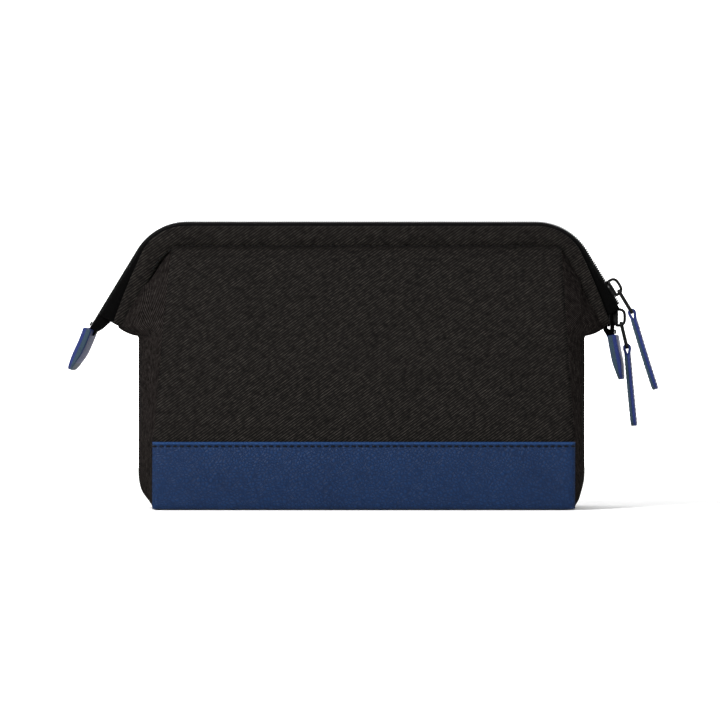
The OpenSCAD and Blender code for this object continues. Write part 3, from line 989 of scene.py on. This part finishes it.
def edge_line(origin, down, outwards, length, half_w, corner, inset, start, lift, bend):
    """The stitch line inside a strip's edge, down one side, round the end and up the other."""
    w, r = half_w - inset, max(corner - inset, 0.5)
    flat = [(start + (length - inset - r - start) * i / 10, -w) for i in range(11)]
    for i in range(1, 12):
        a = math.pi * i / 12
        side = -(w - r) if a < math.pi / 2 else (w - r)
        flat.append((length - inset - r + r * math.sin(a), side - r * math.cos(a)))
    flat += [(x, w) for x, _ in flat[10::-1]]
    return [origin + down * x + YAW * y + outwards * (lift + bend * (x / length) ** 2)
            for x, y in flat]


def leather_pull(name, joint_name, tilt, body, node, bend, length):
    """A strip folded round the puller's bar: two layers sewn together, their edges painted."""
    origin, down, outwards = hanging_frame(joint_name, tilt)
    half_w, corner, layer = 5.0, 4.4, 0.82
    side = []
    for along, w, _ in round_end(length, half_w, corner, 4.8)[::-1]:
        side.append((along, layer, w))
    side += [(3.8, 0.92, 3.0), (2.8, 1.1, 1.7), (1.8, 1.35, 1.4), (0.8, 1.6, 1.35)]
    loop = []
    for i in range(1, 8):
        a = math.pi * i / 8
        loop.append((-1.65 * math.sin(a), 1.65 * math.cos(a), 1.35))
    path = side + loop + [(along, -t, w) for along, t, w in side[::-1]]
    centre = []
    for along, t, _ in path:
        centre.append(origin + down * along + outwards * (t + bend * (along / length) ** 2))
    rings = []
    for i, (p, (_, _, w)) in enumerate(zip(centre, path)):
        ahead = centre[min(i + 1, len(path) - 1)] - centre[max(i - 1, 0)]
        thick = ahead.normalized().cross(YAW)
        rings.append([p + YAW * a + thick * t for a, t in rounded_section(w, layer - 0.02, 0.38)])
    dress(tube(name, rings), PULL_LEATHER, "navy_leather", body, node)
    trim_outline = [(along, w + 0.1, 1) for along, w, _ in round_end(length, half_w, corner, 4.4)]
    trim = strap(name + "_painted_edge", origin - outwards * 0.76, down, outwards, trim_outline,
                 0.78, 0.3, bend)
    dress(trim, EDGE_PAINT, "navy_leather", body)
    lines = [edge_line(origin, down, outwards, length, half_w, corner, 1.2, 7.0, lift, bend)
             for lift in (1.95 * layer, -1.95 * layer)]
    row = laid_along(name + "_stitches", lines, STITCHES, NAVY_THREAD, 2.6, 1.9, 0.4)
    dress(row, NAVY_THREAD, "navy_leather", body)


def end_tab(name, joint_name, tilt, body, node, out, bend, shift=0.0):
    """Two pieces of leather sewn together over the end of the zipper."""
    origin, down, outwards = hanging_frame(joint_name, tilt, out)
    origin = origin + outwards * shift
    length, half_w, half_t, corner = 24.0, 12.0, 2.55, 7.0
    fold = [(-2.3, 11.7, 0.8), (-2.1, 11.95, 0.92)]
    rows = fold + round_end(length, half_w, corner, -1.6)
    outline = [(along, w, q * (1 - 0.5 * ease(0.5, 1.02, along / length))) for along, w, q in rows]
    piece = strap(name, origin, down, outwards, outline, half_t, 0.7, bend)
    dress(piece, PULL_LEATHER, "navy_leather", body, node)
    trim_outline = [(along, w + 0.12, q * 0.52) for along, w, q in outline[1:]]
    trim = strap(name + "_painted_edge", origin - outwards * 0.85, down, outwards, trim_outline,
                 half_t, 0.3, bend)
    dress(trim, EDGE_PAINT, "navy_leather", body)


leather_pull("upper_pull_strap", "upper_pull_swing", 16.0, "upper_pull_body", "upper_pull", 0.9, 47)
leather_pull("lower_pull_strap", "lower_pull_swing", 4.6, "lower_pull_body", "lower_pull", 0.5, 46)
end_tab("left_tab_leather", "left_tab_flex", 20.0, "left_tab_body", "left_tab", -1, 2.6)
end_tab("right_tab_leather", "right_tab_flex", 9.5, "right_tab_body", "right_tab", 1, 0.9, 0.9)

# ---------------------------------------------------------------- sliders and pullers


def wire(name, path, half_w, half_t, across, closed=False):
    """A bar of rounded section bent along a path; across is the direction of its width."""
    rings, count = [], len(path)
    for i, p in enumerate(path):
        before = path[(i - 1) % count] if closed or i else p
        after = path[(i + 1) % count] if closed or i < count - 1 else p
        side = (after - before).normalized().cross(across).normalized()
        rings.append([p + across * w + side * t
                      for w, t in rounded_section(half_w, half_t, min(half_w, half_t) * 0.95, 3)])
    if not closed:
        return tube(name, rings)
    cols = len(rings[0])
    points = [p for ring in rings for p in ring]
    faces = grid_faces(count, cols, close_cols=True)
    last = (count - 1) * cols
    faces += [(last + c, last + (c + 1) % cols, (c + 1) % cols, c) for c in range(cols)]
    return outward(new_piece(name, points, faces))


def slider_plate(name, centre, down, out, low, high):
    """One plate of the slider, boat-shaped, with worn-round edges."""
    outline = []
    for i in range(28):
        a = 2 * math.pi * i / 28
        along = math.copysign(abs(math.cos(a)) ** 0.6, math.cos(a)) * 5.5
        half_w = 4.0 - 0.75 * ease(0, 5.5, along)
        outline.append((along, math.copysign(abs(math.sin(a)) ** 0.6, math.sin(a)) * half_w))
    rings = []
    for n, scale in ((low, 0.9), (low + 0.25, 0.98), (high - 0.35, 1.0), (high - 0.1, 0.95), (high, 0.86)):
        rings.append([centre + down * (a * scale) + Vector((0, w * scale, 0)) + out * n
                      for a, w in outline])
    return tube(name, rings)


def slider(name, centre, down, out, body):
    """A zipper slider: two plates held apart by a post, with a rounded bridge over the top."""
    top = slider_plate("top_plate", centre, down, out, 1.15, 2.65)
    bottom = slider_plate("bottom_plate", centre, down, out, -3.55, -2.05)
    post = wire("post", [centre - down * 4.2 + out * -2.2, centre - down * 4.2 + out * 1.3],
                0.9, 0.7, Vector((0, 1, 0)))
    arc = []
    for i in range(15):
        a = math.pi * i / 14
        along = -math.copysign(abs(math.cos(a)) ** 0.7, math.cos(a)) * 4.7
        arc.append(centre + down * along + out * (2.3 + 4.3 * math.sin(a) ** 0.6))
    bridge = wire("bridge", arc, 1.15, 0.85, Vector((0, 1, 0)))
    flanges = []
    for w in (-3.3, 3.3):
        edge = [centre + down * a + Vector((0, w, 0)) + out * 0.6 for a in (-3.6, 0, 4.6)]
        flanges.append(wire("flange", edge, 0.75, 0.35, out))
    dress(join(name + "_casting", top, bottom, post, bridge, *flanges), METAL, "black_metal", body, name)


def puller(name, joint_name, tilt, body):
    """The wire link from the slider's bridge to the leather, narrower at the bridge."""
    origin, down, _ = hanging_frame(joint_name, tilt)
    flat = []
    for i in range(9):
        a = math.pi * i / 8
        flat.append((-1.2 * math.sin(a) + 1.2, -2.1 * math.cos(a)))
    flat += [(5.0, 2.0), (9.0, 2.2)]
    for i in range(7):
        a = math.pi * i / 6
        flat.append((13.6 + 1.4 * math.sin(a), 2.3 * math.cos(a)))
    flat += [(9.0, -2.2), (5.0, -2.0)]
    loop = [origin + down * a + Vector((0, w, 0)) for a, w in flat]
    out = down.cross(Vector((0, 1, 0))).normalized()
    ring = wire(name + "_link", loop, 1.0, 0.75, out, closed=True)
    dress(ring, METAL, "black_metal", body, name)


leg_down = Vector((math.cos(LEG_ANGLE), 0, -math.sin(LEG_ANGLE)))
right_out = Vector((math.sin(LEG_ANGLE), 0, math.cos(LEG_ANGLE)))
slider("upper_slider", Vector((leg_x(127, 0), 0, 127)), leg_down, right_out, "upper_slider_body")
slider("lower_slider", Vector((RIGHT_X, 0, 111)), Vector((0, 0, -1)), Vector((1, 0, 0)),
       "lower_slider_body")
puller("upper_puller", "upper_puller_swing", 31.3, "upper_puller_body")
puller("lower_puller", "lower_puller_swing", 13.6, "lower_puller_body")

# ---------------------------------------------------------------- carried-over nodes

for stop_slot in frame["nodes"]["zip_stops"].material_slots:
    stop_slot.material = METAL

set_seams(cloth, rear_cloth, quarter_fr, quarter_fl, quarter_rr, quarter_rl, band, rear_band,
          band_thread, rear_band_thread)

# ---------------------------------------------------------------- the cloth pieces' placements baked into their points

for piece, mouth, side in ((cloth, FRONT, -1), (rear_cloth, REAR, 1),
                           (lining_front, FRONT, -1), (lining_rear, REAR, 1)):
    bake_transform(piece)

for piece, mouth, sx, sy in ((quarter_fr, FRONT, 1, -1), (quarter_fl, FRONT, -1, -1),
                             (quarter_rr, REAR, 1, 1), (quarter_rl, REAR, -1, 1)):
    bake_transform(piece)

# ---------------------------------------------------------------- floor, light and camera

floor_mesh = bpy.data.meshes.new("floor")
floor_mesh.from_pydata([(-6, -6, -0.0003), (6, -6, -0.0003), (6, 6, -0.0003), (-6, 6, -0.0003)],
                       [], [(0, 1, 2, 3)])
floor = put_in_scene("floor", floor_mesh)
floor_paint, _, floor_shader = new_material("white_studio_floor", 0.9, 0.0)
floor_shader.inputs["Base Color"].default_value = linear("#ffffff")
floor_mesh.materials.append(floor_paint)

wall_mesh = bpy.data.meshes.new("lit_wall")
wall_mesh.from_pydata([(-6, 1.3, -0.1), (6, 1.3, -0.1), (6, 1.3, 5), (-6, 1.3, 5)], [], [(0, 1, 2, 3)])
wall = put_in_scene("lit_wall", wall_mesh)
wall_paint, _, wall_shader = new_material("lit_studio_wall", 0.9)
wall_shader.inputs["Emission Color"].default_value = (1, 1, 1, 1)
wall_shader.inputs["Emission Strength"].default_value = 1.0
wall_mesh.materials.append(wall_paint)

world = bpy.data.worlds.new("studio")
bpy.context.scene.world = world
world.use_nodes = True
world.node_tree.nodes["Background"].inputs[0].default_value = (1, 1, 1, 1)
world.node_tree.nodes["Background"].inputs[1].default_value = 0.5


def soft_light(name, place, target, size, power):
    """A softbox that faces its target."""
    lamp = bpy.data.lights.new(name, "AREA")
    lamp.shape = "RECTANGLE"
    lamp.size, lamp.size_y = size
    lamp.energy = power
    softbox = put_in_scene(name, lamp)
    softbox.location = place
    softbox.rotation_euler = (Vector(target) - Vector(place)).to_track_quat("-Z", "Y").to_euler()


soft_light("key_softbox", (-0.9, -1.5, 1.3), (0, 0, 0.08), (0.5, 0.5), 50)
soft_light("fill_softbox", (0.9, -1.6, 0.9), (0, 0, 0.08), (1.2, 1.0), 2)

camera_data = bpy.data.cameras.new("camera")
camera_data.lens = 300
camera_data.sensor_width = 36
camera_data.clip_end = 50
camera = put_in_scene("camera", camera_data)
VIEW_W = 0.4176
DISTANCE = VIEW_W * camera_data.lens / camera_data.sensor_width
camera.location = (-0.0009, -DISTANCE - 0.03, 0.0861)
camera.rotation_euler = (math.pi / 2, 0, 0)
bpy.context.scene.camera = camera
bpy.context.scene.view_settings.view_transform = "Standard"
